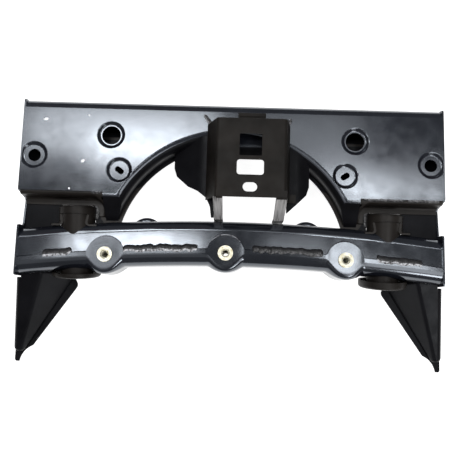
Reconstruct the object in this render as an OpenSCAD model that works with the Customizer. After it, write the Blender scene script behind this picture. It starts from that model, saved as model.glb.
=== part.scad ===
// Front subframe of a road vehicle, as welded from pressed steel: a crossmember box
// with an arched window, a two-shell beam with threaded bosses and bush sleeves,
// a raised mounting bracket over the arch, and two arms that run forward.
// Millimetres. +Z is up, +Y is the rear and +X is the right-hand side.
// The origin is the centre of the footprint, on the ground.

/* [Overall] */
// Width over the end plates of the crossmember
panel_w = 736; // [700:2:820]
// Width over the outer walls of the arms
arm_w = 784; // [760:2:860]
// Depth from the rear wall to the arm tips
overall_d = 464; // [430:2:500]
// Height of the plate's top face
plate_z = 108; // [100:1:116]
// Thickness of the pressed sheet
sheet = 3; // [2:0.5:3.5]

/* [Upper panel] */
// Depth of the flat plate, from the rear wall to its front edge
plate_d = 163; // [155:1:170]
// Bend radius along the rear edge
rear_bend = 16; // [10:1:22]
// Bend radius along the front edge beside the arch
front_bend = 10; // [6:1:14]

/* [Arch] */
// Radius of the arched window in the lower panel
arch_r = 204; // [190:1:212]
// How far the arch centre lies in front of the datum line, which is set from the plate's front edge
arch_back = 39; // [34:1:46]
// Width of the lower panel's edge that shows inside the arch
strip_w = 6; // [4:0.5:8]
// Bend radius where the plate rolls into the arch
arch_bend = 16; // [8:0.5:18]
// Height of the shelf that the arch wall stands on
shelf_z = 70; // [66:1:74]

/* [Plate holes] */
// Distance of the large holes from the middle
big_x = 213; // [205:1:222]
// Distance of the large holes from the rear wall
big_d = 62; // [56:1:68]
// Radius of the large holes
big_r = 16.5; // [12:0.5:18]
// Distance of the slotted dishes from the middle
slot_x = 196; // [194:1:204]
// Distance of the slotted dishes from the rear wall
slot_d = 124; // [118:1:126]
// Length of a slot
slot_len = 17; // [12:1:22]
// Width of a slot
slot_wide = 10; // [7:0.5:12]
// Tilt of the slots, in degrees
slot_tilt = 35; // [0:5:60]
// Distance of the end holes from the middle
end_x = 345; // [330:1:346]
// Distance of the end holes from the rear wall
end_d = 101; // [90:1:112]
// Radius of the end holes
end_r = 11; // [8:0.5:13]
// Depth of the dish pressed around each hole
dish_depth = 4; // [3:0.5:6]

/* [Beam] */
// Bow radius of the beam, seen from above
bow_r = 3000; // [2000:50:4000]
// Half width of the beam's rear shell
beam_half = 38; // [35:1:40]
// Height of the beam's rear shell
beam_h = 66; // [62:1:70]
// Top of the beam's rear shell
beam_top = 97; // [93:1:100]
// How far the middle of the beam lies in front of the datum line
beam_back = 11; // [8:1:14]
// Bend radius of the beam's upper edges
beam_roll = 20; // [16:1:22]
// Pitch of the threaded bosses
boss_pitch = 208; // [200:1:216]
// How far the boss row is set to the left of the middle
boss_shift = 8; // [0:1:12]
// Radius of a boss
boss_r = 13; // [11:0.5:15]
// Radius of the threaded hole, at the thread crests
thread_r = 6; // [5:0.25:7]
// Radius of the round lobes on the front shell
lobe_r = 30; // [26:1:32]

/* [Bush sleeves] */
// Distance of the sleeves from the middle
sleeve_x = 272; // [266:1:278]
// Bore radius that takes the bush
sleeve_bore = 24; // [20:0.5:25]
// Outer radius of the sleeve
sleeve_r = 28; // [26:0.5:28]
// Upward tilt of the sleeve towards the rear, in degrees
sleeve_tilt = 10; // [6:1:12]
// Radius of the cup at the front end
cup_r = 42; // [38:1:44]

/* [Mount bracket] */
// How far the bracket is set to the right of the middle
bracket_x = 32; // [26:1:38]
// Width of the bracket's top
bracket_w = 118; // [112:1:124]
// Depth of the bracket's top
bracket_d = 134; // [128:1:138]
// Height of the bracket above the plate
bracket_h = 40; // [34:1:46]

/* [Arms] */
// Height of an arm where it meets the beam
arm_h = 76; // [68:1:80]
// Width of the flange along the inner edge of an arm
flange_w = 16; // [12:1:18]

/* [Hidden] */
bend_steps = 6;
$fn = 72;
gap = 0.15;
lift = 0.02;
rear_y = overall_d / 2;
plate_edge_y = rear_y - plate_d;
datum_y = plate_edge_y - 69;
front_bend_y = plate_edge_y - 7;
arch_y = datum_y - arch_back;
wall_r = arch_r + strip_w;
foot_y = front_bend_y - (plate_z - shelf_z);
step_y = rear_y - 34;
inner_w = panel_w - 2 * sheet;
pocket_x = 222;
pocket_bend = 20;
beam_y = datum_y - beam_back;
beam_floor = beam_top - beam_h;
beam_span = 2 * asin(panel_w / 2 / (bow_r - 2 * beam_half)) + 0.4;
lap_r = -12;
boss_off = -19.5;
skirt_r = lobe_r + 2.5;
lobe_roll = 6;
hump_r = 30;
hump_xs = [-148, 133];
hump_z = [beam_floor + 17, beam_top - beam_roll - 1.7];
boss_xs = [for (i = [-1:1]) i * boss_pitch - boss_shift];
sleeve_y = beam_y - bow_r + sqrt(pow(bow_r, 2) - pow(sleeve_x, 2));
sleeve_z = (beam_top + beam_floor) / 2 + 1;
sleeve_fronts = [-53, -58];
cup_back = -44.5;
sleeve_rear = 73;
collar_r = sleeve_r + gap + sheet;
bracket_top = plate_z + bracket_h;
bracket_rear = rear_y - 39;
bracket_front = bracket_rear - bracket_d;
tip_y = -overall_d / 2;
arm_x = arm_w / 2;
arm_rear = datum_y - 70;
cut_x = max(arm_x, panel_w / 2 + 20);
end_bow = beam_y - bow_r + sqrt(pow(bow_r, 2) - pow(panel_w / 2, 2));
end_reach = beam_half + 2 * sheet;
arm_notch_y = end_bow - end_reach - 2.3;
wing_tail = beam_y + beam_half + 2;
wing_roots = [bracket_x - bracket_w / 2 - 2, bracket_x + bracket_w / 2 + 2];
paint = [0.10, 0.105, 0.12];
bracket_paint = [0.16, 0.135, 0.12];
zinc = [0.76, 0.72, 0.52];
weld = [0.22, 0.2, 0.19];

// Bent-sheet geometry: paths with rounded corners, moved sideways by a thickness.
function unit(v) = v / norm(v);
function turn(a, b) = a[0] * b[1] - a[1] * b[0];
function reversed(list) = [for (i = [len(list) - 1:-1:0]) list[i]];
function side(path, i) = let (d = unit(path[i + 1] - path[i])) [-d[1], d[0]];

// Points of the arc that rounds corner q between its neighbours p and s.
function corner(p, q, s, r) =
    let (u = unit(p - q), w = unit(s - q), half = acos(u * w) / 2)
    let (centre = q + unit(u + w) * r / sin(half))
    let (a = q + u * r / tan(half) - centre)
    let (sweep = (turn(u, w) < 0 ? 1 : -1) * (180 - 2 * half))
    [for (i = [0:bend_steps])
        let (t = sweep * i / bend_steps)
        centre + [a[0] * cos(t) - a[1] * sin(t), a[0] * sin(t) + a[1] * cos(t)]];

// An open path with its corners rounded, and a closed one.
function rounded(path, radii) =
    let (last = len(path) - 1)
    [for (i = [0:last])
        each (i == 0 || i == last || radii[i] == 0)
            ? [path[i]]
            : corner(path[i - 1], path[i], path[i + 1], radii[i])];
function rounded_loop(path, r) =
    let (n = len(path))
    [for (i = [0:n - 1]) each corner(path[(i + n - 1) % n], path[i], path[(i + 1) % n], r)];

// The same path moved to its left by d, and the radii that keep the bends concentric.
function moved(path, d) =
    let (last = len(path) - 1)
    [for (i = [0:last])
        let (m = side(path, max(i - 1, 0)), k = side(path, min(i, last - 1)))
        path[i] + d * (m + k) / (1 + m * k)];
function moved_radii(path, radii, d) =
    let (last = len(path) - 1)
    [for (i = [0:last])
        (i == 0 || i == last || radii[i] == 0)
            ? 0
            : radii[i] + (turn(path[i] - path[i - 1], path[i + 1] - path[i]) > 0 ? -d : d)];

// Closed outline of a sheet bent along a path, with its thickness on the left.
function bent(path, radii, t) =
    concat(rounded(path, radii),
           reversed(rounded(moved(path, t), moved_radii(path, radii, t))));

// A rectangle about the origin, and its outline with round corners.
function box_loop(w, h) = [[-w, -h] / 2, [w, -h] / 2, [w, h] / 2, [-w, h] / 2];

// Extrude a Y-Z profile along X, or an X-Z profile along Y.
module along_x(x0, x1) {
    translate([x0, 0, 0])
        rotate([90, 0, 90])
            linear_extrude(x1 - x0)
                children();
}

module along_y(y0, y1) {
    translate([0, y1, 0])
        rotate([90, 0, 0])
            linear_extrude(y1 - y0)
                children();
}

// Draw the right-hand piece, or its mirror image.
module on_side(s) {
    if (s > 0) children();
    else mirror([1, 0, 0]) children();
}

// The crossmember's skin: rear wall, plate and front slope, seen from the end.
skin_path = [
    [rear_y, 0],
    [rear_y, plate_z],
    [front_bend_y, plate_z],
    [foot_y, shelf_z]
];
skin_radii = [0, rear_bend, front_bend, 0];

module skin_outer() {
    polygon(concat(rounded(skin_path, skin_radii), [[step_y, shelf_z], [step_y, 0]]));
}

module skin_inner() {
    inside = rounded(moved(skin_path, sheet), moved_radii(skin_path, skin_radii, sheet));
    foot = inside[len(inside) - 1];
    polygon(concat([[rear_y - sheet, -1]], inside, [[foot[0], -1]]));
}

// Arched opening with a rolled upper edge; depth is 0 for the skin, sheet for the cavity.
module arch_core(depth) {
    bend = arch_bend - depth;
    centre = [wall_r + arch_bend, plate_z - arch_bend + lift];
    translate([0, arch_y, 0])
        rotate_extrude($fn = 144)
            polygon(concat(
                [[0, -2], [wall_r + depth, -2]],
                [for (i = [0:bend_steps])
                    let (a = 180 - 90 * i / bend_steps)
                    centre + bend * [cos(a), sin(a)]],
                [[0, plate_z - depth + lift]]));
}

// Round dish pressed into the plate; depth is 0 for the skin, sheet for the cavity.
module dish(r, depth) {
    path = [[0, -dish_depth], [r - dish_depth, -dish_depth], [r, 0], [r + 4, 0]];
    radii = [0, 4, 4, 0];
    face = rounded(moved(path, -depth), moved_radii(path, radii, -depth));
    rotate_extrude()
        polygon(concat([for (p = face) [max(p[0], 0), p[1] + lift]], [[r + 4, 6], [0, 6]]));
}

module each_dish(depth) {
    for (s = [-1, 1]) {
        translate([s * big_x, rear_y - big_d, plate_z])
            dish(big_r + 7, depth);
        translate([s * slot_x, rear_y - slot_d, plate_z])
            dish(slot_len / 2 + 13, depth);
        translate([s * end_x, rear_y - end_d, plate_z])
            dish(end_r + 12, depth);
    }
}

module plate_holes() {
    for (s = [-1, 1]) {
        translate([s * big_x, rear_y - big_d, plate_z - 12])
            cylinder(r = big_r, h = 20);
        translate([s * end_x, rear_y - end_d, plate_z - 12])
            cylinder(r = end_r, h = 20);
        translate([s * slot_x, rear_y - slot_d, plate_z - 12])
            rotate([0, 0, s * slot_tilt])
                linear_extrude(20)
                    polygon(rounded_loop(box_loop(slot_len, slot_wide), slot_wide / 2 - 0.1));
    }
}

module upper_panel() {
    color(paint)
        difference() {
            along_x(-inner_w / 2, inner_w / 2)
                skin_outer();
            difference() {
                along_x(-panel_w, panel_w)
                    skin_inner();
                arch_core(sheet);
                each_dish(sheet);
            }
            arch_core(0);
            each_dish(0);
            plate_holes();
            for (s = [-1, 1])
                on_side(s)
                    translate([pocket_x, plate_edge_y - 200, 0])
                        cube([panel_w, 200, plate_z + 10]);
        }
}

// Closing stamping: a channel along the rear wall and a shelf around the arch.
module lower_panel() {
    path = [
        [rear_y - sheet, 20],
        [rear_y - sheet, 0],
        [step_y, 0],
        [step_y - 14, shelf_z - sheet],
        [beam_y, shelf_z - sheet]
    ];
    color(paint)
        difference() {
            along_x(-inner_w / 2, inner_w / 2)
                polygon(bent(path, [0, 6, 12, 9, 0], -sheet));
            translate([0, arch_y, 1])
                cylinder(r = arch_r, h = plate_z, $fn = 144);
            beam_block(gap);
            for (s = [-1, 1])
                on_side(s)
                    on_sleeve()
                        cylinder(r = collar_r + 0.5, h = sleeve_rear + 0.5);
        }
}

module end_plate(s) {
    reach = end_reach;
    path = [
        [rear_y, 0],
        [rear_y, plate_z],
        [plate_edge_y, plate_z],
        [plate_edge_y - 10, shelf_z],
        [end_bow + reach, shelf_z + 6],
        [end_bow + reach, beam_top + sheet],
        [end_bow - reach, beam_top + sheet],
        [end_bow - reach, beam_floor - sheet],
        [end_bow + reach, beam_floor - sheet],
        [step_y - 16, shelf_z - 2 * sheet],
        [step_y, 0]
    ];
    color(paint)
        on_side(s)
            along_x(inner_w / 2, panel_w / 2)
                polygon(rounded_loop(path, 5));
}

// Pressed pocket wall between plate and beam: foot on the shelf, wall, lap under the plate.
module corner_panel(s) {
    lap_z = plate_z - sheet;
    path = [
        [pocket_bend - 12, shelf_z + sheet],
        [pocket_bend, shelf_z + sheet],
        [pocket_bend, lap_z],
        [pocket_bend + 22, lap_z]
    ];
    profile = bent(path, [0, 5, 6, 0], -sheet);
    turn_x = pocket_x + pocket_bend;
    turn_y = front_bend_y - pocket_bend;
    color(paint)
        on_side(s)
            intersection() {
                union() {
                    translate([0, turn_y, 0])
                        along_x(turn_x, inner_w / 2)
                            polygon(profile);
                    translate([turn_x, turn_y, 0])
                        rotate([0, 0, 90])
                            rotate_extrude(angle = 90)
                                polygon(profile);
                    translate([turn_x, 0, 0])
                        along_y(foot_y + 6, turn_y)
                            polygon([for (p = profile) [-p[0], p[1]]]);
                }
                along_x(0, panel_w)
                    skin_inner();
            }
}

// The beam follows a wide arc about an axis in front of the part.
module bow(x0, x1) {
    a0 = asin(x0 / bow_r);
    a1 = asin(x1 / bow_r);
    translate([0, beam_y - bow_r, 0])
        rotate([0, 0, 90 - a1])
            rotate_extrude(angle = a1 - a0, $fn = 600)
                translate([bow_r, 0])
                    children();
}

module beam() {
    half = bow_r * sin(beam_span / 2);
    intersection() {
        bow(-half, half)
            children();
        translate([-inner_w / 2, -overall_d, 0])
            cube([inner_w, 2 * overall_d, plate_z * 2]);
    }
}

// Stand a piece on the beam: x along it, off from its centre line towards the rear.
module on_beam(x, off) {
    translate([0, beam_y - bow_r, 0])
        rotate([0, 0, -asin(x / bow_r)])
            translate([0, bow_r + off, 0])
                children();
}

// Barrel with rolled rims, used where the shells bulge.
module barrel(r, z0, z1, roll) {
    rotate_extrude()
        polygon(rounded([[0, z0], [r, z0], [r, z1], [0, z1]], [0, roll, roll, 0]));
}

function rear_outline(d) = [
    [-beam_roll - 2 * d, beam_top - d],
    [beam_half - d, beam_top - d],
    [beam_half - d, beam_floor + d],
    [-beam_roll - 2 * d, beam_floor + d]
];

function front_outline(d, back) = [
    [back, beam_floor - sheet + d],
    [-beam_half - sheet + d, beam_floor - sheet + d],
    [-beam_half - sheet + d, beam_top + sheet - d],
    [back, beam_top + sheet - d]
];

// Everything inside the closed beam, grown by a clearance, for cutting its neighbours.
module beam_block(grow) {
    outline = [
        [-beam_half - sheet - grow, beam_floor - sheet - grow],
        [beam_half + grow, beam_floor - sheet - grow],
        [beam_half + grow, beam_top + grow],
        [lap_r, beam_top + grow],
        [lap_r, beam_top + sheet + grow],
        [-beam_half - sheet - grow, beam_top + sheet + grow]
    ];
    roll = beam_roll + grow;
    bow(-cut_x, cut_x)
        polygon(rounded(concat([outline[5]], outline, [outline[0]]), [0, 14, 3, roll, 0, 0, 0, 0]));
}

module boss_bores() {
    for (x = boss_xs)
        on_beam(x, boss_off)
            cylinder(r = boss_r + gap, h = plate_z + 10);
}

module sleeve_bores() {
    for (s = [-1, 1])
        on_side(s)
            on_sleeve()
                translate([0, 0, -100])
                    cylinder(r = sleeve_r + gap, h = 200);
}

module beam_rear_shell() {
    color(paint)
        difference() {
            union() {
                beam()
                    polygon(rounded(rear_outline(0), [0, beam_roll, 14, 0]));
                for (x = hump_xs)
                    on_beam(x, beam_half + 8 - hump_r)
                        barrel(hump_r, hump_z[0], hump_z[1], 7);
            }
            beam()
                polygon(rounded(rear_outline(sheet), [0, beam_roll - sheet, 14 - sheet, 0]));
            for (x = hump_xs)
                on_beam(x, beam_half + 8 - hump_r)
                    barrel(hump_r - sheet, hump_z[0] + sheet, hump_z[1] - sheet, 4.4);
            boss_bores();
            sleeve_bores();
        }
}

module beam_front_shell() {
    roll = beam_roll + 1;
    top = beam_top + sheet;
    floor_z = beam_floor - sheet;
    color(paint)
        difference() {
            union() {
                beam()
                    polygon(rounded(front_outline(0, lap_r), [0, roll, roll, 0]));
                for (x = boss_xs)
                    on_beam(x, boss_off)
                        barrel(skirt_r, floor_z - 0.5, top + 0.5, lobe_roll);
            }
            bow(-cut_x, cut_x)
                polygon(rounded(front_outline(sheet, 2 * beam_half), [0, roll - sheet, roll - sheet, 0]));
            for (x = boss_xs)
                on_beam(x, boss_off)
                    barrel(skirt_r - sheet, beam_floor + 0.5, beam_top - 0.5, lobe_roll - 2);
            boss_bores();
            sleeve_bores();
        }
}

module threaded_boss(x) {
    bottom = beam_floor - sheet;
    top = beam_top + sheet + 1.5;
    color(zinc)
        on_beam(x, boss_off)
            translate([0, 0, bottom])
                difference() {
                    cylinder(r = boss_r, h = top - bottom);
                    translate([0, 0, -1])
                        cylinder(r = thread_r, h = top - bottom + 2);
                    translate([0, 0, top - bottom - 1.5])
                        cylinder(r1 = thread_r, r2 = thread_r + 2, h = 2);
                }
}

// Local frame of the right-hand sleeve: +Z along its axis, towards the rear.
module on_sleeve() {
    translate([sleeve_x, sleeve_y, sleeve_z])
        rotate([sleeve_tilt - 90, 0, 0])
            children();
}

// Where the sleeve on side s starts, along its axis.
function sleeve_front(s) = sleeve_fronts[s < 0 ? 0 : 1];

module bush_sleeve(s) {
    length = sleeve_rear - sleeve_front(s);
    color(paint)
        on_side(s)
            on_sleeve()
                translate([0, 0, sleeve_front(s)])
                    difference() {
                        cylinder(r = sleeve_r, h = length);
                        translate([0, 0, -1])
                            cylinder(r = sleeve_bore, h = length + 2);
                    }
}

module sleeve_collar(s) {
    base = beam_half + 3;
    bore = sleeve_r + gap;
    color(paint)
        on_side(s)
            difference() {
                intersection() {
                    on_sleeve()
                        rotate_extrude()
                            polygon(bent([[collar_r, sleeve_rear - 3], [collar_r, base], [collar_r + 13, base]],
                                         [0, 4, 0], -sheet));
                    translate([sleeve_x - 100, -100, shelf_z + 2 * gap])
                        cube([200, 200, 100]);
                }
                beam_block(gap);
                translate([sleeve_x - 100, sleeve_y, beam_top - 4])
                    cube([200, beam_half + 16, 40]);
            }
}

module sleeve_cup(s) {
    rim = [
        [sleeve_r + gap, sleeve_front(s)],
        [cup_r, sleeve_front(s)],
        [cup_r, cup_back]
    ];
    color(paint)
        difference() {
            on_side(s)
                on_sleeve()
                    rotate_extrude()
                        polygon(bent(rim, [0, 5, 0], sheet));
            beam_block(gap);
            for (x = boss_xs)
                on_beam(x, boss_off)
                    cylinder(r = skirt_r + gap, h = plate_z);
        }
}

// Raised bracket: a bent channel with a rear tab and two straps down to the beam.
module mount_bracket() {
    half = bracket_w / 2;
    flare = [18, 8];
    hat = [
        [bracket_x - half - 1.1 * flare[0], plate_z - 0.1 * bracket_h],
        [bracket_x - half, bracket_top],
        [bracket_x + half, bracket_top],
        [bracket_x + half + 1.1 * flare[1], plate_z - 0.1 * bracket_h]
    ];
    tab = [
        [bracket_rear - 12, bracket_top],
        [bracket_rear, bracket_top],
        [bracket_rear + 13, plate_z + sheet],
        [bracket_rear + 22, plate_z + sheet]
    ];
    strap = [
        [bracket_front + 12, bracket_top],
        [bracket_front - 1, bracket_top],
        [beam_y + beam_half + sheet, beam_top - 12],
        [beam_y + beam_half + sheet, shelf_z]
    ];
    strap_x = [[bracket_x - half + 1, 11], [bracket_x + half - 17, 18]];
    color(bracket_paint)
        difference() {
            union() {
                intersection() {
                    along_y(bracket_front, bracket_rear)
                        polygon(bent(hat, [0, 7, 7, 0], -sheet));
                    translate([bracket_x - bracket_w, 0, plate_z])
                        cube([2 * bracket_w, rear_y, bracket_h]);
                }
                along_x(bracket_x - 24, bracket_x + 24)
                    polygon(bent(tab, [0, 6, 6, 0], -sheet));
                for (p = strap_x)
                    along_x(p[0], p[0] + p[1])
                        polygon(bent(strap, [0, 6, 6, 0], sheet));
                translate([bracket_x + half + flare[1] - sheet, bracket_front - 2, plate_z])
                    cube([14, 15, sheet]);
            }
            beam_block(gap);
            bracket_windows();
        }
}

module bracket_windows() {
    front = bracket_front;
    windows = [
        [front + 89, 37.5, 38, 1.5],
        [front + 50.5, 45, 26, 5],
        [front + 17, 24, 16, 7.9]
    ];
    for (w = windows)
        translate([bracket_x - 2, w[0], bracket_top - 20])
            linear_extrude(40)
                polygon(rounded_loop(box_loop(w[1], w[2]), w[3]));
}

// Bell-shaped plate that falls away beside the bracket, from the arch wall to the beam.
module bracket_wing(s) {
    root = s < 0 ? wing_roots[0] : -wing_roots[1];
    left_bell = [[5.5, 0], [8, 19], [15, 34], [31, 47], [48, 55.6], [69, 75], [74, 90], [74, 150]];
    right_bell = [[2.5, 11], [21.5, 29], [36, 44], [41, 59], [41, 150]];
    bell = s < 0 ? left_bell : right_bell;
    fall = [
        [root - 1, plate_z],
        [root - 24, plate_z],
        [root - 90, shelf_z + 5]
    ];
    plan = concat([[1, bell[0][1]]], bell, [[1, 150]]);
    color(paint)
        on_side(-s)
            intersection() {
                along_y(wing_tail - 1, rear_y)
                    polygon(bent(fall, [0, 40, 0], sheet));
                linear_extrude(plate_z + 10)
                    polygon([for (p = plan) [root - p[0], wing_tail + p[1]]]);
                arch_limit();
            }
}

// Room inside the arch for what is welded to its wall.
module arch_limit() {
    intersection() {
        arch_core(-gap);
        translate([0, arch_y, 0])
            cylinder(r = wall_r + arch_bend / 2, h = plate_z + 10, $fn = 144);
    }
}

// Strip with a turned-down lip that joins the wings under the bracket.
module wing_bridge() {
    lip_y = arch_y + wall_r - 19;
    strip = [
        [rear_y, plate_z],
        [lip_y, plate_z],
        [lip_y - 3.5, plate_z - 18]
    ];
    color(paint)
        intersection() {
            along_x(wing_roots[0] - 1 + gap, wing_roots[1] + 1 - gap)
                polygon(bent(strip, [0, 5, 0], sheet));
            arch_limit();
        }
}

// Hollow arm that slopes from the beam down to the ground, open underneath.
module arm_body(r) {
    outer = arm_x - 10;
    lean = 18;
    top_z = arm_h - 10;
    low = [[outer - 82, arm_rear, 4], [outer - 1, tip_y + 42, 4], [outer, arm_rear, 4]];
    high = [[outer - 48, arm_rear, top_z], [outer - lean, arm_rear, top_z], [outer, tip_y + 28, 8]];
    hull()
        for (p = concat(low, high))
            translate(p)
                sphere(r = r, $fn = 24);
}

module arm_shell(s) {
    color(paint)
        on_side(s)
            difference() {
                arm_body(10);
                arm_body(10 - sheet);
                translate([0, -400, -20])
                    cube([600, 400, 20 + sheet]);
                beam_block(gap);
                translate([inner_w / 2 - gap, arm_notch_y, 0])
                    cube([100, 200, 200]);
                on_sleeve()
                    translate([0, 0, sleeve_front(s) - 4])
                        cylinder(r = cup_r + 2 * gap, h = 60);
            }
}

module arm_base(s) {
    inner = [[arm_x - 109, arm_rear - 20], [arm_x - 32, tip_y + 30]];
    notch_x = min(inner_w / 2 - 2, arm_x - 8);
    seat_y = arm_rear + 8;
    plan = [
        [arm_x, arm_notch_y],
        [arm_x, tip_y],
        [arm_x - 10, tip_y],
        inner[1],
        inner[0],
        [inner[0][0] + flange_w, seat_y],
        [notch_x, seat_y],
        [notch_x, arm_notch_y]
    ];
    color(paint)
        on_side(s)
            linear_extrude(sheet)
                difference() {
                    polygon(rounded(concat(plan, [plan[0]]), [0, 4, 4, 0, 10, 6, 4, 4, 0]));
                    translate([inner[1][0] - 13, tip_y - 6])
                        circle(r = 37.5);
                }
}

// Fillet bead along the lap of the two shells.
module seam_welds() {
    spans = [[-322, -272], [-184, -56], [38, 160], [252, 330]];
    bead = [5.5, 3.8];
    color(weld)
        for (p = spans)
            bow(p[0], p[1])
                polygon(concat(
                    [[lap_r, beam_top]],
                    [for (i = [0:bend_steps])
                        let (a = 90 * i / bend_steps)
                        [lap_r + bead[0] * cos(a), beam_top + bead[1] * sin(a)]]));
}

module panel_welds() {
    spans = [[-242, -226], [228, 296], [304, 358]];
    foot = plate_z - sheet;
    color(weld)
        for (p = spans)
            along_x(p[0], p[1])
                polygon([
                    [plate_edge_y, foot],
                    [plate_edge_y, plate_z],
                    [plate_edge_y - 1.4, plate_z - 0.6],
                    [plate_edge_y - 2.6, plate_z - 1.8],
                    [plate_edge_y - 3, foot]
                ]);
}

module bracket_welds() {
    spots = [[bracket_x - bracket_w / 2 - 19, -40], [bracket_x + bracket_w / 2 + 8, 40]];
    color(weld)
        for (p = spots)
            translate([p[0], bracket_rear + 9, plate_z])
                rotate([0, 0, p[1]])
                    intersection() {
                        rotate([90, 0, 0])
                            cylinder(r = 3.2, h = 15, center = true);
                        translate([-10, -10, 0])
                            cube([20, 20, 10]);
                    }
}

upper_panel();
lower_panel();
end_plate(-1);  // left_end_plate
end_plate(1);  // right_end_plate
corner_panel(-1);  // left_corner_panel
corner_panel(1);  // right_corner_panel
beam_rear_shell();
beam_front_shell();
threaded_boss(boss_xs[0]);  // left_threaded_boss
threaded_boss(boss_xs[1]);  // middle_threaded_boss
threaded_boss(boss_xs[2]);  // right_threaded_boss
bush_sleeve(-1);  // left_bush_sleeve
bush_sleeve(1);  // right_bush_sleeve
sleeve_collar(-1);  // left_sleeve_collar
sleeve_collar(1);  // right_sleeve_collar
sleeve_cup(-1);  // left_sleeve_cup
sleeve_cup(1);  // right_sleeve_cup
mount_bracket();
bracket_wing(-1);  // left_bracket_wing
bracket_wing(1);  // right_bracket_wing
wing_bridge();
arm_shell(-1);  // left_arm_shell
arm_shell(1);  // right_arm_shell
arm_base(-1);  // left_arm_base
arm_base(1);  // right_arm_base
seam_welds();
panel_welds();
bracket_welds();
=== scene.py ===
import math
import random

import bpy
from mathutils import Matrix, Vector


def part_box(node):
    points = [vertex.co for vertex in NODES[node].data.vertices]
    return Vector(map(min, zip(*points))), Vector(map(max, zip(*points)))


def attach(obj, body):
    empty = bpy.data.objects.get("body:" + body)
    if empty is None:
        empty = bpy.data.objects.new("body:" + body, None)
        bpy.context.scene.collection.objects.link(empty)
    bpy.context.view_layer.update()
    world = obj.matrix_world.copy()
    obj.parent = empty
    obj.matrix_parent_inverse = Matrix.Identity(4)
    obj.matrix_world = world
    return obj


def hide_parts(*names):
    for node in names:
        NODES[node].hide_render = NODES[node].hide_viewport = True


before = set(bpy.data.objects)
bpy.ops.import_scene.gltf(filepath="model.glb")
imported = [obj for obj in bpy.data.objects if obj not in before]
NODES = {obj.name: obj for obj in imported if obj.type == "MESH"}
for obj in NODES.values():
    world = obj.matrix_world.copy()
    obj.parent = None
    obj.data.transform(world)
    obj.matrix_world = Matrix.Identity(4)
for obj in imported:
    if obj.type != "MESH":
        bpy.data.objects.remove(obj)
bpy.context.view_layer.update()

# Lengths are in mm unless a comment says otherwise. X runs to the right, Y to the rear and Z up.
MM = 0.001


def to_mm(length):
    """A length from the frame, which is in metres, to the nearest thousandth of a mm."""
    return round(length / MM, 3)


# Heights of the plate's top and of the shelf of the lower panel.
PLATE_TOP = to_mm(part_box("upper_panel")[1][2])
SHELF_TOP = to_mm(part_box("lower_panel")[1][2])

# The Y of the arch's centre, and the radii between which its steep wall lies.
ARCH_Y = -39.1
ARCH_WALL = (190.0, 236.0)

# A wall's normal rises less than the first of these, and that of a face that looks up more than the second.
# They pick the faces that get painted shade.
WALL_RISE = 0.85
UP_RISE = 0.5

# The beam is bowed: its middle line is an arc of this radius about this Y.
BOW_R = 3000.0
BOW_Y = -3011.0

# The bosses' places along that line, and how far behind it they stand: less than 0 is in front of it.
BOSSES = [("left", -216.0), ("middle", -8.0), ("right", 200.0)]
BOSS_OFF = -19.5

# The radius of the beam's round lobes, which have the bosses at their centres.
LOBE_R = 32.5

# The sleeves through the beam's ends: their X, the height of their middle, and their axis.
SLEEVES_X = (-272.0, 272.0)
SLEEVE_Z = 65.0
SLEEVE_TILT = math.radians(10)
SLEEVE_AXIS = Vector((0.0, math.cos(SLEEVE_TILT), math.sin(SLEEVE_TILT)))

# The front shell is left open within these radii, so that the bosses and sleeves hide its stepped edges.
BOSS_HOLE_R = 9.5
SLEEVE_HOLE_R = 26.5

# The part's sheet metal, and how far the front shell's ends go into the end plates.
SHEET = 3.0
END_DEPTH = 2.0

# The beam's rear shell, and the front shell that laps it: one sheet higher, lower by one sheet and longer.
rear_low, rear_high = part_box("beam_rear_shell")
REAR_TOP = to_mm(rear_high[2])
FRONT_TOP = REAR_TOP + SHEET
BEAM_FLOOR = to_mm(rear_low[2]) - SHEET
BEAM_END = to_mm(rear_high[0]) + END_DEPTH

# The front shell away from the lobes: how far its front lies before the middle line and its lap behind it.
SHELL_FRONT = 41.0
SHELL_LAP = -12.0

# Its wall, which is thinner than the sheet so that it clears the rear shell.
SHELL_WALL = 2.6

# The radius of its rolled front edges, away from the lobes and on them.
PLAIN_ROLL = 21.0
LOBE_ROLL = 9.0

# How softly the lobes run into its front and into its lap.
FRONT_BLEND = 16.0
LAP_BLEND = 7.0

# Slope of its top towards the front.
FRONT_FALL = 0.04

# Bevel along its lap, and the span in X where the bevel gets a painted highlight: round the rear of the
# middle lobe.
LAP_EDGE = 1.4
LAP_HIGHLIGHT = (-34.0, 16.0)

# Distance between the cross sections of the sheets built here.
STATION = 2.0

# Edges stay sharp above these angles, in degrees: on CAD nodes, and on the pieces built here.
NODE_CREASE = 32
PIECE_CREASE = 40

# On CAD nodes, points closer than this are joined, and faces within this angle, in degrees, become one flat.
JOIN_REACH = 0.01
FLAT_ANGLE = 0.2


# Materials

# Most of a noise lies between these values.
NOISE_MIDDLE = (0.3, 0.7)


def new_material(name):
    """A Principled material: the material, its node tree and its shader."""
    material = bpy.data.materials.new(name)
    material.use_nodes = True
    tree = material.node_tree
    return material, tree, tree.nodes["Principled BSDF"]


def noise(tree, scale, detail=3.0, stretch=(1.0, 1.0, 1.0)):
    """Noise over the object's own coordinates, scale in waves a metre."""
    coords = tree.nodes.new("ShaderNodeTexCoord")
    mapping = tree.nodes.new("ShaderNodeMapping")
    mapping.inputs["Scale"].default_value = stretch
    texture = tree.nodes.new("ShaderNodeTexNoise")
    texture.inputs["Scale"].default_value = scale
    texture.inputs["Detail"].default_value = detail
    tree.links.new(coords.outputs["Object"], mapping.inputs["Vector"])
    tree.links.new(mapping.outputs["Vector"], texture.inputs["Vector"])
    return texture.outputs["Fac"]


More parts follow.
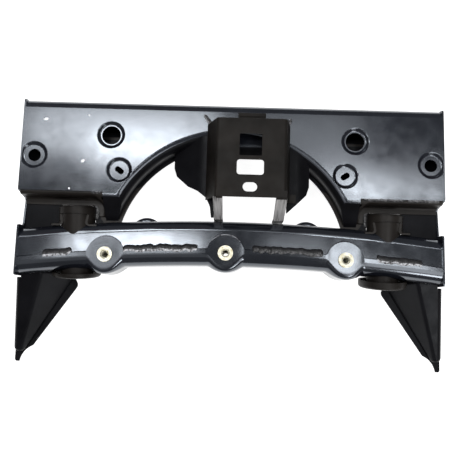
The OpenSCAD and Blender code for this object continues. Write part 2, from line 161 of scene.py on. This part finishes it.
def ramp(tree, factor, stops):
    """Colours along a factor, from (place, (r, g, b)) stops."""
    node = tree.nodes.new("ShaderNodeValToRGB")
    elements = node.color_ramp.elements
    while len(elements) < len(stops):
        elements.new(0.5)
    for element, (place, colour) in zip(elements, stops):
        element.position = place
        element.color = (*colour, 1.0)
    tree.links.new(factor, node.inputs["Fac"])
    return node.outputs["Color"]


def spread(tree, factor, low, high):
    """The middle of a noise spread over low to high."""
    node = tree.nodes.new("ShaderNodeMapRange")
    node.inputs["From Min"].default_value = NOISE_MIDDLE[0]
    node.inputs["From Max"].default_value = NOISE_MIDDLE[1]
    node.inputs["To Min"].default_value = low
    node.inputs["To Max"].default_value = high
    tree.links.new(factor, node.inputs["Value"])
    return node.outputs["Result"]


def add_bump(tree, shader, factor, depth):
    """Fine relief on the shader and its coat."""
    node = tree.nodes.new("ShaderNodeBump")
    node.inputs["Strength"].default_value = 1.0
    node.inputs["Distance"].default_value = depth * MM
    tree.links.new(factor, node.inputs["Height"])
    tree.links.new(node.outputs["Normal"], shader.inputs["Normal"])
    tree.links.new(node.outputs["Normal"], shader.inputs["Coat Normal"])


def surface(name, stops, grain, roughness, patches):
    """A material coloured by the noise grain and roughened by the noise patches, each (scale, detail)."""
    material, tree, shader = new_material(name)
    tree.links.new(ramp(tree, noise(tree, *grain), stops), shader.inputs["Base Color"])
    tree.links.new(spread(tree, noise(tree, *patches), *roughness), shader.inputs["Roughness"])
    return material, tree, shader


def paint(name, dark, light, roughness, ior, tint, peel):
    """Black paint on steel: mottled colour, uneven gloss and orange peel."""
    stops = [(0.35, dark), (0.68, light)]
    material, tree, shader = surface(name, stops, grain=(14, 5), roughness=roughness, patches=(45, 4))
    shader.inputs["IOR"].default_value = ior
    shader.inputs["Specular Tint"].default_value = (*tint, 1.0)
    add_bump(tree, shader, noise(tree, 320, 2), depth=peel)
    return material


def zinc(name):
    """Yellow passivated zinc plating, a little uneven."""
    stops = [(0.3, (0.58, 0.53, 0.36)), (0.5, (0.78, 0.76, 0.64)), (0.75, (0.86, 0.86, 0.80))]
    material, tree, shader = surface(name, stops, grain=(180, 4), roughness=(0.42, 0.58), patches=(400, 3))
    shader.inputs["Metallic"].default_value = 1.0
    add_bump(tree, shader, noise(tree, 900, 2), depth=0.04)
    return material


def weld_metal(name, stops, roughness):
    """Painted weld: rough, coloured over noise between the stops; with pale stops it is a painted highlight.
    """
    material, tree, shader = surface(name, stops, grain=(260, 5), roughness=roughness, patches=(500, 3))
    shader.inputs["IOR"].default_value = 1.6
    shader.inputs["Coat Weight"].default_value = 0.3
    shader.inputs["Coat Roughness"].default_value = 0.15
    add_bump(tree, shader, noise(tree, 700, 3), depth=0.25)
    return material


def highlight_streaks(name):
    """Pale grey streaks that run up and down over black: a painted highlight."""
    stops = [(0.34, (0.03, 0.028, 0.027)), (0.43, (0.42, 0.41, 0.41)), (0.70, (0.66, 0.65, 0.65))]
    streaks = (3.0, 0.35, 0.12)
    material, _, _ = surface(name, stops, grain=(120, 4, streaks), roughness=(0.45, 0.65), patches=(200, 3))
    return material


def bare_metal(name):
    """Bright steel where the paint is chipped."""
    stops = [(0.3, (0.70, 0.71, 0.73)), (0.7, (0.88, 0.89, 0.90))]
    material, _, shader = surface(name, stops, grain=(600, 3), roughness=(0.40, 0.55), patches=(900, 3))
    shader.inputs["Metallic"].default_value = 0.85
    return material


# Tints of the paints' reflections. The bluish and cool ones stand in for a bluish cast of the light, which
# the white lamps don't give: a painted tint of the reflections.
BLUISH = (0.84, 0.91, 1.0)
COOL = (0.92, 0.96, 1.0)
WHITE = (1.0, 1.0, 1.0)

GLOSS = paint("gloss_paint", (0.008, 0.009, 0.014), (0.013, 0.015, 0.022),
              roughness=(0.13, 0.19), ior=1.9, tint=BLUISH, peel=0.010)
BEAM = paint("beam_paint", (0.008, 0.009, 0.013), (0.014, 0.016, 0.022),
             roughness=(0.11, 0.17), ior=1.9, tint=BLUISH, peel=0.006)
# A dim brownish copy of the black paint that reflects less, for the parts under the plate and in the corner
# pockets: painted shade.
PAINTED_SHADE = paint("painted_shade_paint", (0.010, 0.008, 0.007), (0.018, 0.015, 0.013),
               roughness=(0.36, 0.52), ior=1.32, tint=WHITE, peel=0.016)
DULL = paint("bracket_paint", (0.006, 0.005, 0.004), (0.014, 0.011, 0.009),
             roughness=(0.50, 0.65), ior=1.3, tint=WHITE, peel=0.016)
# A near-black copy of the paint that hardly reflects: the arms', bases' and wings' black paint made darker as
# painted shade, and painted shade on the arch wall, inside the box and on the bridge strip's lip.
ARM_AND_SHADE = paint("arm_paint_and_painted_shade", (0.005, 0.005, 0.006), (0.010, 0.010, 0.012),
            roughness=(0.28, 0.42), ior=1.16, tint=COOL, peel=0.014)
ZINC = zinc("yellow_zinc")
BEAD = weld_metal("seam_weld", [(0.35, (0.006, 0.006, 0.008)), (0.7, (0.025, 0.025, 0.028))], (0.35, 0.6))
# The pale edge paint below goes on the beads' front edges and on the beam's lap bevel: a painted highlight.
EDGE = weld_metal("painted_weld_highlight", [(0.38, (0.04, 0.04, 0.045)), (0.55, (0.70, 0.71, 0.75))], (0.25, 0.4))
SPECK = weld_metal("panel_weld", [(0.45, (0.012, 0.012, 0.014)), (0.66, (0.16, 0.16, 0.17))], (0.3, 0.5))
BARE = bare_metal("bare_metal")
# Pale paint on the straps: a painted highlight.
STRAP_HIGHLIGHT = highlight_streaks("painted_strap_highlight")

NODE_PAINT = {
    "upper_panel": GLOSS, "lower_panel": PAINTED_SHADE,
    "left_end_plate": GLOSS, "right_end_plate": GLOSS,
    "left_corner_panel": PAINTED_SHADE, "right_corner_panel": PAINTED_SHADE,
    "beam_rear_shell": BEAM, "beam_front_shell": BEAM,
    "left_threaded_boss": ZINC, "middle_threaded_boss": ZINC, "right_threaded_boss": ZINC,
    "left_bush_sleeve": PAINTED_SHADE, "right_bush_sleeve": PAINTED_SHADE,
    "left_sleeve_collar": PAINTED_SHADE, "right_sleeve_collar": PAINTED_SHADE,
    "left_sleeve_cup": PAINTED_SHADE, "right_sleeve_cup": PAINTED_SHADE,
    "mount_bracket": DULL, "left_bracket_wing": ARM_AND_SHADE, "right_bracket_wing": ARM_AND_SHADE, "wing_bridge": GLOSS,
    "left_arm_shell": ARM_AND_SHADE, "right_arm_shell": ARM_AND_SHADE,
    "left_arm_base": ARM_AND_SHADE, "right_arm_base": ARM_AND_SHADE,
}


def add_crease(piece, degrees):
    """Keeps edges sharp where faces meet at more than this angle."""
    crease = piece.modifiers.new("crease", "EDGE_SPLIT")
    crease.split_angle = math.radians(degrees)


def dress(node, material):
    """Paints a CAD node and shades its curved faces smooth."""
    node.data.materials.clear()
    node.data.materials.append(material)
    node.data.polygons.foreach_set("use_smooth", [True] * len(node.data.polygons))
    weld = node.modifiers.new("weld", "WELD")
    weld.merge_threshold = JOIN_REACH * MM
    flats = node.modifiers.new("flats", "DECIMATE")
    flats.decimate_type = "DISSOLVE"
    flats.angle_limit = math.radians(FLAT_ANGLE)
    flats.delimit = {"MATERIAL"}
    add_crease(node, NODE_CREASE)
    normals = node.modifiers.new("normals", "WEIGHTED_NORMAL")
    normals.weight = 100


def arch_reach(face):
    """How far a face lies from the arch's centre."""
    return math.hypot(face.center.x, face.center.y - ARCH_Y * MM) / MM


def on_arch_wall(face):
    """Whether a face is on the steep wall round the arch, under the plate's edge."""
    return ARCH_WALL[0] < arch_reach(face) < ARCH_WALL[1] and face.normal.z < WALL_RISE


def inside_box(face):
    """Whether a face of the lower panel looks up into the closed room under the plate."""
    return arch_reach(face) > ARCH_WALL[1] and face.normal.z > UP_RISE


def paint_shade(node, material, chosen):
    """Gives the faces of a CAD node that chosen picks another, darker paint: painted shade."""
    node.data.materials.append(material)
    for face in node.data.polygons:
        if chosen(face):
            face.material_index = 1


for node_name, node_paint in NODE_PAINT.items():
    dress(NODES[node_name], node_paint)
# The steep wall round the arch and the lower panel's faces inside the closed box get the darker paint:
# painted shade.
paint_shade(NODES["upper_panel"], ARM_AND_SHADE, on_arch_wall)
paint_shade(NODES["lower_panel"], ARM_AND_SHADE, inside_box)


# Pieces built here

def add_piece(name, points, faces, materials, slots=None):
    """A smooth mesh piece that rides on the object's one body; slots gives each face's material."""
    mesh = bpy.data.meshes.new(name)
    mesh.from_pydata([Vector(point) * MM for point in points], [], faces)
    mesh.polygons.foreach_set("use_smooth", [True] * len(faces))
    for material in materials:
        mesh.materials.append(material)
    if slots:
        mesh.polygons.foreach_set("material_index", slots)
    mesh.update()
    piece = bpy.data.objects.new(name, mesh)
    bpy.context.scene.collection.objects.link(piece)
    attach(piece, "root")
    return piece


def steps(a, b, size):
    """Places from a to b about size apart."""
    count = max(2, round(abs(b - a) / size))
    return [a + (b - a) * i / count for i in range(count + 1)]


def bands(base, ring, count, flip=False):
    """The faces between count rings of points, the first of which begins at base; flip turns them over."""
    faces = []
    for i in range(count - 1):
        start = base + i * ring
        for c in range(ring):
            d = (c + 1) % ring
            others = [start + ring + c, start + ring + d, start + d]
            if flip:
                others.reverse()
            faces.append((start + c, *others))
    return faces


def bow_point(x, r, z):
    """The point of the beam at X = x, r behind its middle line."""
    return Vector((x, BOW_Y + math.sqrt((BOW_R + r) ** 2 - x * x), z))


def boss_x(along):
    """The X of a boss at this place along the beam's middle line."""
    return along * (BOW_R + BOSS_OFF) / BOW_R


def boss_foot(along):
    """The point at Z = 0 on the axis of a boss."""
    return bow_point(boss_x(along), BOSS_OFF, 0.0)


# Weld beads: the distance between their cross sections, and how many strips go across the top of one.
BEAD_STEP = 0.7
BEAD_COLUMNS = 10

# The sections over which an end tapers, the share of the width left there, and the strips of the front edge,
# which take the fringe slot and so, in places, a painted highlight.
BEAD_TAPER = 5
BEAD_END = 0.35
BEAD_FRINGE = 3

# How a bead wavers, as shares of its width (shift and width) and of its height (swell and ripple).
BEAD_SHIFT = 0.10
BEAD_WIDTH = 0.16
BEAD_SWELL = 0.22
BEAD_RIPPLE = 0.30

# How far a ripple's ends trail behind its middle, and how steep the ripples and the sides are.
RIPPLE_TRAIL = 1.3
RIPPLE_POWER = 0.7
SIDE_POWER = 2.4


def wander(rng, count, step):
    """A smooth wavering value from -1 to 1 at each of count places, turning about every step places."""
    knots = [rng.uniform(-1.0, 1.0) for _ in range(count // step + 3)]
    values = []
    for i in range(count):
        knot, share = divmod(i / step, 1.0)
        share = share * share * (3.0 - 2.0 * share)
        values.append(knots[int(knot)] * (1.0 - share) + knots[int(knot) + 1] * share)
    return values


def bead(rng, path, points, faces, slots, sink, rise, pitch, fringe=1):
    """Adds a rippled bead along a path of (front edge, rear edge) points; fringe is the front edge's slot,
    which with the pale edge paint is a painted highlight.
    """
    count = len(path)
    width = wander(rng, count, step=7)
    swell = wander(rng, count, step=5)
    shift = wander(rng, count, step=11)
    base = len(points)
    ring = BEAD_COLUMNS + 3
    below = Vector((0.0, 0.0, -sink))
    length = 0.0
    for i, (front, rear) in enumerate(path):
        if i:
            length += (front - path[i - 1][0]).length
        end = min(1.0, min(i, count - 1 - i) / BEAD_TAPER)
        taper = end * (2.0 - end)
        across = rear - front
        middle = (front + rear) / 2.0 + across * BEAD_SHIFT * shift[i]
        half = across * 0.5 * (1.0 + BEAD_WIDTH * width[i]) * (BEAD_END + (1.0 - BEAD_END) * taper)
        for c in range(BEAD_COLUMNS + 1):
            t = 2.0 * c / BEAD_COLUMNS - 1.0
            ripple = abs(math.sin(math.pi * (length + RIPPLE_TRAIL * t * t) / pitch)) ** RIPPLE_POWER
            fullness = 1.0 - BEAD_RIPPLE + BEAD_RIPPLE * ripple + BEAD_SWELL * swell[i]
            height = rise * (1.0 - abs(t) ** SIDE_POWER) * fullness * taper
            points.append(middle + half * t + Vector((0.0, 0.0, height)))
        points.append(rear + below)
        points.append(front + below)
    faces += bands(base, ring, count)
    slots += [fringe if c < BEAD_FRINGE else 0 for c in range(ring)] * (count - 1)
    faces.append(tuple(reversed(range(base, base + ring))))
    faces.append(tuple(range(len(points) - ring, len(points))))
    slots += [0, 0]


def seam_beads():
    """The beads along the lap seam on top of the beam."""
    rng = random.Random(11)
    points, faces, slots = [], [], []
    front = (-17.4, FRONT_TOP - 0.2)
    rear = (-4.6, REAR_TOP - 0.1)
    # The ends of each bead in X, and the slot of its front edge: 1 is the pale edge paint, a painted
    # highlight.
    for x0, x1, fringe in [(-322, -272, 1), (-184, -56, 1), (38, 160, 2), (252, 330, 1)]:
        path = [(bow_point(x, *front), bow_point(x, *rear)) for x in steps(x0, x1, BEAD_STEP)]
        bead(rng, path, points, faces, slots, sink=0.9, rise=3.4, pitch=3.4, fringe=fringe)
    piece = add_piece("seam_beads", points, faces, [BEAD, EDGE, SPECK], slots)
    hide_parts("seam_welds")


def panel_beads():
    """The short beads where the corner panels lap the plate."""
    rng = random.Random(23)
    points, faces, slots = [], [], []
    front = (65.4, PLATE_TOP - 3.1)
    rear = (69.6, PLATE_TOP - 0.4)
    # The ends of each bead in X.
    for x0, x1 in [(-242, -226), (228, 296), (304, 358)]:
        path = [(Vector((x, *front)), Vector((x, *rear))) for x in steps(x0, x1, BEAD_STEP)]
        bead(rng, path, points, faces, slots, sink=0.6, rise=1.3, pitch=2.8)
    piece = add_piece("panel_beads", points, faces, [SPECK, SPECK], slots)
    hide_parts("panel_welds")


def bracket_beads():
    """The weld stubs at the bracket's rear corners."""
    rng = random.Random(37)
    points, faces, slots = [], [], []
    half_width = 3.6
    foot = PLATE_TOP - 0.2
    # The rear end and the front end of each stub, in X and Y.
    for (x0, y0), (x1, y1) in [((-52, 210), (-40, 194)), ((101, 207), (96, 197))]:
        along = Vector((x1 - x0, y1 - y0, 0))
        side = Vector((-along.y, along.x, 0)).normalized() * half_width
        path = []
        for share in steps(0.0, 1.0, BEAD_STEP / along.length):
            middle = Vector((x0, y0, foot)) + along * share
            path.append((middle - side, middle + side))
        bead(rng, path, points, faces, slots, sink=0.6, rise=3.4, pitch=3.4)
    # The stubs' front edges get the pale edge paint: a painted highlight.
    piece = add_piece("bracket_beads", points, faces, [SPECK, EDGE], slots)
    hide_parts("bracket_welds")


def collar_beads():
    """The beads between the lower panel's notches and the sleeve collars."""
    rng = random.Random(53)
    points, faces, slots = [], [], []
    half_width = 5.0
    foot = SHELF_TOP + 0.2
    for x in (-240.0, 240.0):
        path = []
        for y in steps(24.0, 62.0, 0.8):
            path.append((Vector((x - half_width, y, foot)), Vector((x + half_width, y, foot))))
        bead(rng, path, points, faces, slots, sink=4.0, rise=2.0, pitch=4.2)
    add_piece("collar_beads", points, faces, [BEAD, BEAD], slots)


def smooth_max(a, b, blend):
    """The larger of two values, rounded over where they are closer than blend."""
    near = max(blend - abs(a - b), 0.0) / blend
    return max(a, b) + near * near * blend / 4.0


def lobe_reach(x, plain, side, blend):
    """How far the front shell reaches at X = x, before (side -1) or behind (side 1) the middle line."""
    reach = plain
    for _, along in BOSSES:
        room = LOBE_R ** 2 - (x - boss_x(along)) ** 2
        if room > 0.0:
            reach = smooth_max(reach, side * BOSS_OFF + math.sqrt(room), blend)
    return reach


def shell_section(x):
    """The front shell's outer line at X = x, as (r, z), from the lap on top round the front to the floor."""
    top_count, roll_count, front_count, floor_count = 14, 10, 8, 4
    quarter = [math.pi / 2.0 * i / roll_count for i in range(roll_count + 1)]
    front = lobe_reach(x, SHELL_FRONT, -1, FRONT_BLEND)
    rear = lobe_reach(x, SHELL_LAP, 1, LAP_BLEND)
    lobe_front = LOBE_R - BOSS_OFF
    on_lobe = min(1.0, (front - SHELL_FRONT) / (lobe_front - SHELL_FRONT))
    roll = PLAIN_ROLL - (PLAIN_ROLL - LOBE_ROLL) * on_lobe
    bend = roll - front
    start = rear - LAP_EDGE
    line = [(rear, FRONT_TOP - SHELL_WALL), (rear, FRONT_TOP - LAP_EDGE)]
    line += [(start + (bend - start) * i / top_count, FRONT_TOP) for i in range(top_count)]
    line += [(bend - roll * math.sin(a), FRONT_TOP - roll + roll * math.cos(a)) for a in quarter]
    line = [(r, z - FRONT_FALL * (rear - r)) for r, z in line]
    edge = line[-1][1]
    foot = BEAM_FLOOR + roll
    line += [(-front, edge + (foot - edge) * i / front_count) for i in range(1, front_count)]
    line += [(bend - roll * math.cos(a), foot - roll * math.sin(a)) for a in quarter]
    line += [(bend + (SHELL_LAP - bend) * i / floor_count, BEAM_FLOOR) for i in range(1, floor_count + 1)]
    return line


def in_hole(point):
    """Whether a point of the front shell lies in a boss's or a sleeve's hole."""
    for _, along in BOSSES:
        if (point.xy - boss_foot(along).xy).length < BOSS_HOLE_R:
            return True
    for x in SLEEVES_X:
        offset = point - bow_point(x, 0.0, SLEEVE_Z)
        if offset.cross(SLEEVE_AXIS).length < SLEEVE_HOLE_R:
            return True
    return False


def front_shell():
    """The beam's front shell, whose round lobes run smoothly into its top and its front."""
    stations = steps(-BEAM_END, BEAM_END, STATION)
    sections = [shell_section(x) for x in stations]
    count = len(sections[0])
    # The strip of a section that is the bevel along the lap.
    bevel = 1
    points, faces, slots = [], [], []
    for x, line in zip(stations, sections):
        points += [bow_point(x, r, z) for r, z in line]
    for i in range(len(stations) - 1):
        bright = LAP_HIGHLIGHT[0] < stations[i] < LAP_HIGHLIGHT[1]
        for c in range(count - 1):
            a = i * count + c
            corners = (a, a + 1, a + count + 1, a + count)
            if not in_hole(sum((points[k] for k in corners), Vector()) / 4.0):
                faces.append(corners)
                # The bevel's strips in that span get the pale edge paint: a painted highlight.
                slots.append(1 if bright and c == bevel else 0)
    piece = add_piece("front_shell", points, faces, [BEAM, EDGE], slots)
    wall = piece.modifiers.new("wall", "SOLIDIFY")
    wall.thickness = SHELL_WALL * MM
    add_crease(piece, PIECE_CREASE)
    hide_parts("beam_front_shell")


def bridge_strip():
    """The strip between the bracket's wings: flat up to the arch, with a lip that slants down in front."""
    left, right = -29.9, 93.9
    # Its rear edge is an arc of this radius round the arch's centre, and its flat ends at this Y.
    arch_r, flat_y = 218.1, 156.1
    # The outer radius of the bend, its angle and the length of the lip.
    bend, turn, lip = 5.0, math.radians(60), 18.0
    turn_count = 6
    # The strips next to the rear edge on top that have the plate's paint. The rest of the bend, the lip and
    # the underside get the darker paint: painted shade.
    unshaded_strips = 3
    stations = steps(left, right, STATION)
    points = []
    for x in stations:
        ring = []
        for radius in (bend, bend - SHEET):
            line = [(ARCH_Y + math.sqrt(arch_r ** 2 - x * x), PLATE_TOP - bend + radius)]
            for i in range(turn_count + 1):
                a = turn * i / turn_count
                line.append((flat_y - radius * math.sin(a), PLATE_TOP - bend + radius * math.cos(a)))
            y, z = line[-1]
            line.append((y - lip * math.cos(turn), z - lip * math.sin(turn)))
            ring += line if radius == bend else line[::-1]
        points += [(x, y, z) for y, z in ring]
    count = len(points) // len(stations)
    faces = bands(0, count, len(stations), flip=True)
    faces.append(tuple(reversed(range(count))))
    faces.append(tuple(range(len(points) - count, len(points))))
    # The darker paint past those strips is painted shade.
    slots = [0 if c < unshaded_strips else 1 for c in range(count)] * (len(stations) - 1) + [1, 1]
    piece = add_piece("bridge_strip", points, faces, [GLOSS, ARM_AND_SHADE], slots)
    add_crease(piece, PIECE_CREASE)
    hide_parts("wing_bridge")


def strap_faces():
    """The pale skin of the bracket's two straps, a painted highlight, down to where they pass behind the
    beam.
    """
    # Y and Z down the front and down the rear of the skin.
    fronts = [(56.3, 144.2), (30.3, 86.1), (29.9, 84.6), (29.7, 83.0), (29.7, 52.0)]
    rears = [(59.6, 143.2), (33.6, 85.0), (33.4, 84.2), (33.3, 83.0), (33.3, 52.0)]
    ring = 4
    points, faces = [], []
    # The left and right edge of each strap.
    for x0, x1 in [(-30.5, -14.7), (73.7, 92.3)]:
        base = len(points)
        for front, rear in zip(fronts, rears):
            points += [(x0, *front), (x1, *front), (x1, *rear), (x0, *rear)]
        faces += bands(base, ring, len(fronts))
        faces.append(tuple(range(base, base + ring)))
        faces.append(tuple(reversed(range(len(points) - ring, len(points)))))
    piece = add_piece("strap_faces", points, faces, [STRAP_HIGHLIGHT])
    add_crease(piece, PIECE_CREASE)


def boss_threads():
    """A helical thread ridge down the whole bore of each boss."""
    pitch, turns, per_turn = 1.75, 40, 28
    crest, root = 5.15, 6.05
    top = FRONT_TOP + 0.2
    ridge = [(root, 0.42 * pitch), (crest, 0.06 * pitch), (crest, -0.06 * pitch), (root, -0.42 * pitch)]
    ring = len(ridge)
    count = turns * per_turn + 1
    for side, along in BOSSES:
        x, y, _ = boss_foot(along)
        points = []
        for i in range(count):
            angle = math.tau * i / per_turn
            z = top - pitch * i / per_turn
            for radius, lift in ridge:
                points.append((x + radius * math.cos(angle), y + radius * math.sin(angle), z + lift))
        faces = bands(0, ring, count, flip=True)
        faces.append(tuple(range(ring)))
        faces.append(tuple(reversed(range(len(points) - ring, len(points)))))
        add_piece(side + "_boss_thread", points, faces, [ZINC])


def paint_chips():
    """The bright specks on the plate's left half, where the paint is chipped."""
    rng = random.Random(5)
    points, faces = [], []
    rim = 14
    rim_z, middle_z = PLATE_TOP + 0.03, PLATE_TOP + 0.15
    # The place of each chip, half its width, and how much longer than wide it is.
    for x, y, size, stretch in [
        (-328, 195, 2.6, 1.6),
        (-253, 204, 1.5, 1.0),
        (-259, 122, 2.6, 1.3),
        (-280, 73, 1.8, 1.2),
    ]:
        turn = rng.uniform(-0.4, 0.4)
        base = len(points)
        points.append((x, y, middle_z))
        for i in range(rim):
            angle = math.tau * i / rim
            reach = size * rng.uniform(0.65, 1.1)
            dx, dy = reach * stretch * math.cos(angle), reach * math.sin(angle)
            points.append((x + dx * math.cos(turn) - dy * math.sin(turn),
                           y + dx * math.sin(turn) + dy * math.cos(turn), rim_z))
        for i in range(rim):
            faces.append((base, base + 1 + i, base + 1 + (i + 1) % rim))
        faces.append(tuple(reversed(range(base + 1, base + 1 + rim))))
    piece = add_piece("paint_chips", points, faces, [BARE])
    add_crease(piece, PIECE_CREASE)


front_shell()
bridge_strip()
strap_faces()
seam_beads()
panel_beads()
collar_beads()
bracket_beads()
boss_threads()
paint_chips()


# Stage, in metres

FLOOR_REACH = 40.0
FLOOR_Z = -0.0006
FLOOR_GREY = 0.86
FLOOR_GLOW = 0.90

# The level of the even light from all round.
WORLD_LEVEL = 0.14

# Most lamps hang at the first height. The second keeps two that overlap others just below them.
LAMP_Z = 2.10
LOWER_Z = 2.08

# The softboxes: the span in X, the span in Y, the radiance and the height of each.
LAMPS = [
    ("left_main", (-0.80, -0.10), (0.61, 0.92), 7.5, LAMP_Z),
    ("left_far", (-1.12, -0.80), (0.68, 0.92), 7.5, LAMP_Z),
    ("left_hot", (-0.80, -0.24), (0.63, 0.79), 11.0, LOWER_Z),
    ("left_end", (-1.40, -1.12), (0.62, 0.92), 2.6, LAMP_Z),
    ("left_rear", (-1.20, -0.10), (0.92, 0.98), 3.0, LAMP_Z),
    ("middle", (0.10, 0.70), (0.60, 0.95), 1.6, LAMP_Z),
    ("right_band", (0.42, 0.82), (0.44, 0.57), 14.5, LAMP_Z),
    ("right_end", (0.82, 1.20), (0.44, 0.57), 7.0, LAMP_Z),
    ("right_step", (0.42, 1.10), (0.57, 0.62), 2.4, LOWER_Z),
    ("beam_end", (-0.92, -0.66), (0.12, 0.235), 15.0, LAMP_Z),
    ("beam_left", (-0.66, -0.32), (0.12, 0.235), 25.0, LAMP_Z),
    ("beam_fade", (-0.32, -0.18), (0.12, 0.235), 14.0, LAMP_Z),
    ("beam_dim", (0.18, 0.50), (0.12, 0.235), 2.6, LAMP_Z),
    ("lobe_left", (-0.84, -0.58), (-0.03, 0.12), 0.4, LAMP_Z),
    ("lobe_front", (-0.84, -0.58), (-0.20, -0.03), 2.2, LAMP_Z),
    ("lap_left", (-0.98, -0.84), (-0.14, 0.06), 5.0, LAMP_Z),
    ("lap_middle", (-0.58, -0.20), (-0.14, 0.06), 3.0, LAMP_Z),
    ("lap_right", (0.50, 0.76), (-0.20, 0.10), 10.0, LAMP_Z),
    ("lap_end", (0.76, 1.06), (-0.16, 0.0), 7.5, LAMP_Z),
    ("roll_left", (-1.00, -0.20), (-0.50, -0.20), 1.2, LAMP_Z),
    ("roll_right", (0.62, 1.20), (-1.40, -0.20), 3.0, LAMP_Z),
    ("front_left", (-1.40, -0.10), (-1.70, -0.50), 0.3, LAMP_Z),
    ("arm_right", (1.00, 2.00), (-2.90, -1.80), 12.0, LAMP_Z),
]

# The camera: the point it looks at, how far from it and how high it stands, its roll and its lens.
CAMERA_TARGET = Vector((0.0077, 0.0, 0.108))
CAMERA_DISTANCE = 0.920
CAMERA_ELEVATION = math.radians(83.0)
CAMERA_ROLL = math.radians(1.6)
SENSOR_WIDTH_MM = 36.0
FOCAL_LENGTH_MM = 41.36


def add_floor():
    """A pale floor that looks white where nothing shades it."""
    low, high = -FLOOR_REACH, FLOOR_REACH
    corners = [(low, low, FLOOR_Z), (high, low, FLOOR_Z), (high, high, FLOOR_Z), (low, high, FLOOR_Z)]
    mesh = bpy.data.meshes.new("floor")
    mesh.from_pydata(corners, [], [(0, 1, 2, 3)])
    floor = bpy.data.objects.new("floor", mesh)
    bpy.context.scene.collection.objects.link(floor)
    material, tree, shader = new_material("floor")
    shader.inputs["Base Color"].default_value = (FLOOR_GREY, FLOOR_GREY, FLOOR_GREY, 1.0)
    shader.inputs["Roughness"].default_value = 0.9
    shader.inputs["Specular IOR Level"].default_value = 0.0
    shader.inputs["Emission Color"].default_value = (FLOOR_GLOW, FLOOR_GLOW, FLOOR_GLOW, 1.0)
    rays = tree.nodes.new("ShaderNodeLightPath")
    seen = rays.outputs["Is Camera Ray"]
    for kind in ("Is Glossy Ray", "Is Transmission Ray"):
        either = tree.nodes.new("ShaderNodeMath")
        either.operation = "ADD"
        either.use_clamp = True
        tree.links.new(seen, either.inputs[0])
        tree.links.new(rays.outputs[kind], either.inputs[1])
        seen = either.outputs["Value"]
    tree.links.new(seen, shader.inputs["Emission Strength"])
    mesh.materials.append(material)


def add_softbox(name, x, y, radiance, z):
    """A softbox facing down over the spans x and y."""
    width, depth = x[1] - x[0], y[1] - y[0]
    lamp = bpy.data.lights.new(name, "AREA")
    lamp.shape = "RECTANGLE"
    lamp.size, lamp.size_y = width, depth
    lamp.energy = radiance * math.pi * width * depth
    box = bpy.data.objects.new(name, lamp)
    box.location = ((x[0] + x[1]) / 2, (y[0] + y[1]) / 2, z)
    bpy.context.scene.collection.objects.link(box)


def add_world():
    """Even white light from all round."""
    world = bpy.data.worlds.new("studio")
    world.use_nodes = True
    background = world.node_tree.nodes["Background"]
    background.inputs["Color"].default_value = (1.0, 1.0, 1.0, 1.0)
    background.inputs["Strength"].default_value = WORLD_LEVEL
    bpy.context.scene.world = world


def add_camera():
    """The photo's view: nearly from above, a little from the front, rolled slightly."""
    back = Vector((0.0, -math.cos(CAMERA_ELEVATION), math.sin(CAMERA_ELEVATION)))
    place = CAMERA_TARGET + CAMERA_DISTANCE * back
    lens = bpy.data.cameras.new("camera")
    lens.sensor_width = SENSOR_WIDTH_MM
    lens.lens = FOCAL_LENGTH_MM
    camera = bpy.data.objects.new("camera", lens)
    aim = (CAMERA_TARGET - place).to_track_quat("-Z", "Y").to_matrix().to_4x4()
    camera.matrix_world = Matrix.Translation(place) @ aim @ Matrix.Rotation(CAMERA_ROLL, 4, "Z")
    bpy.context.scene.collection.objects.link(camera)
    bpy.context.scene.camera = camera


add_floor()
for lamp in LAMPS:
    add_softbox(*lamp)
add_world()
add_camera()
bpy.context.scene.view_settings.view_transform = "Standard"
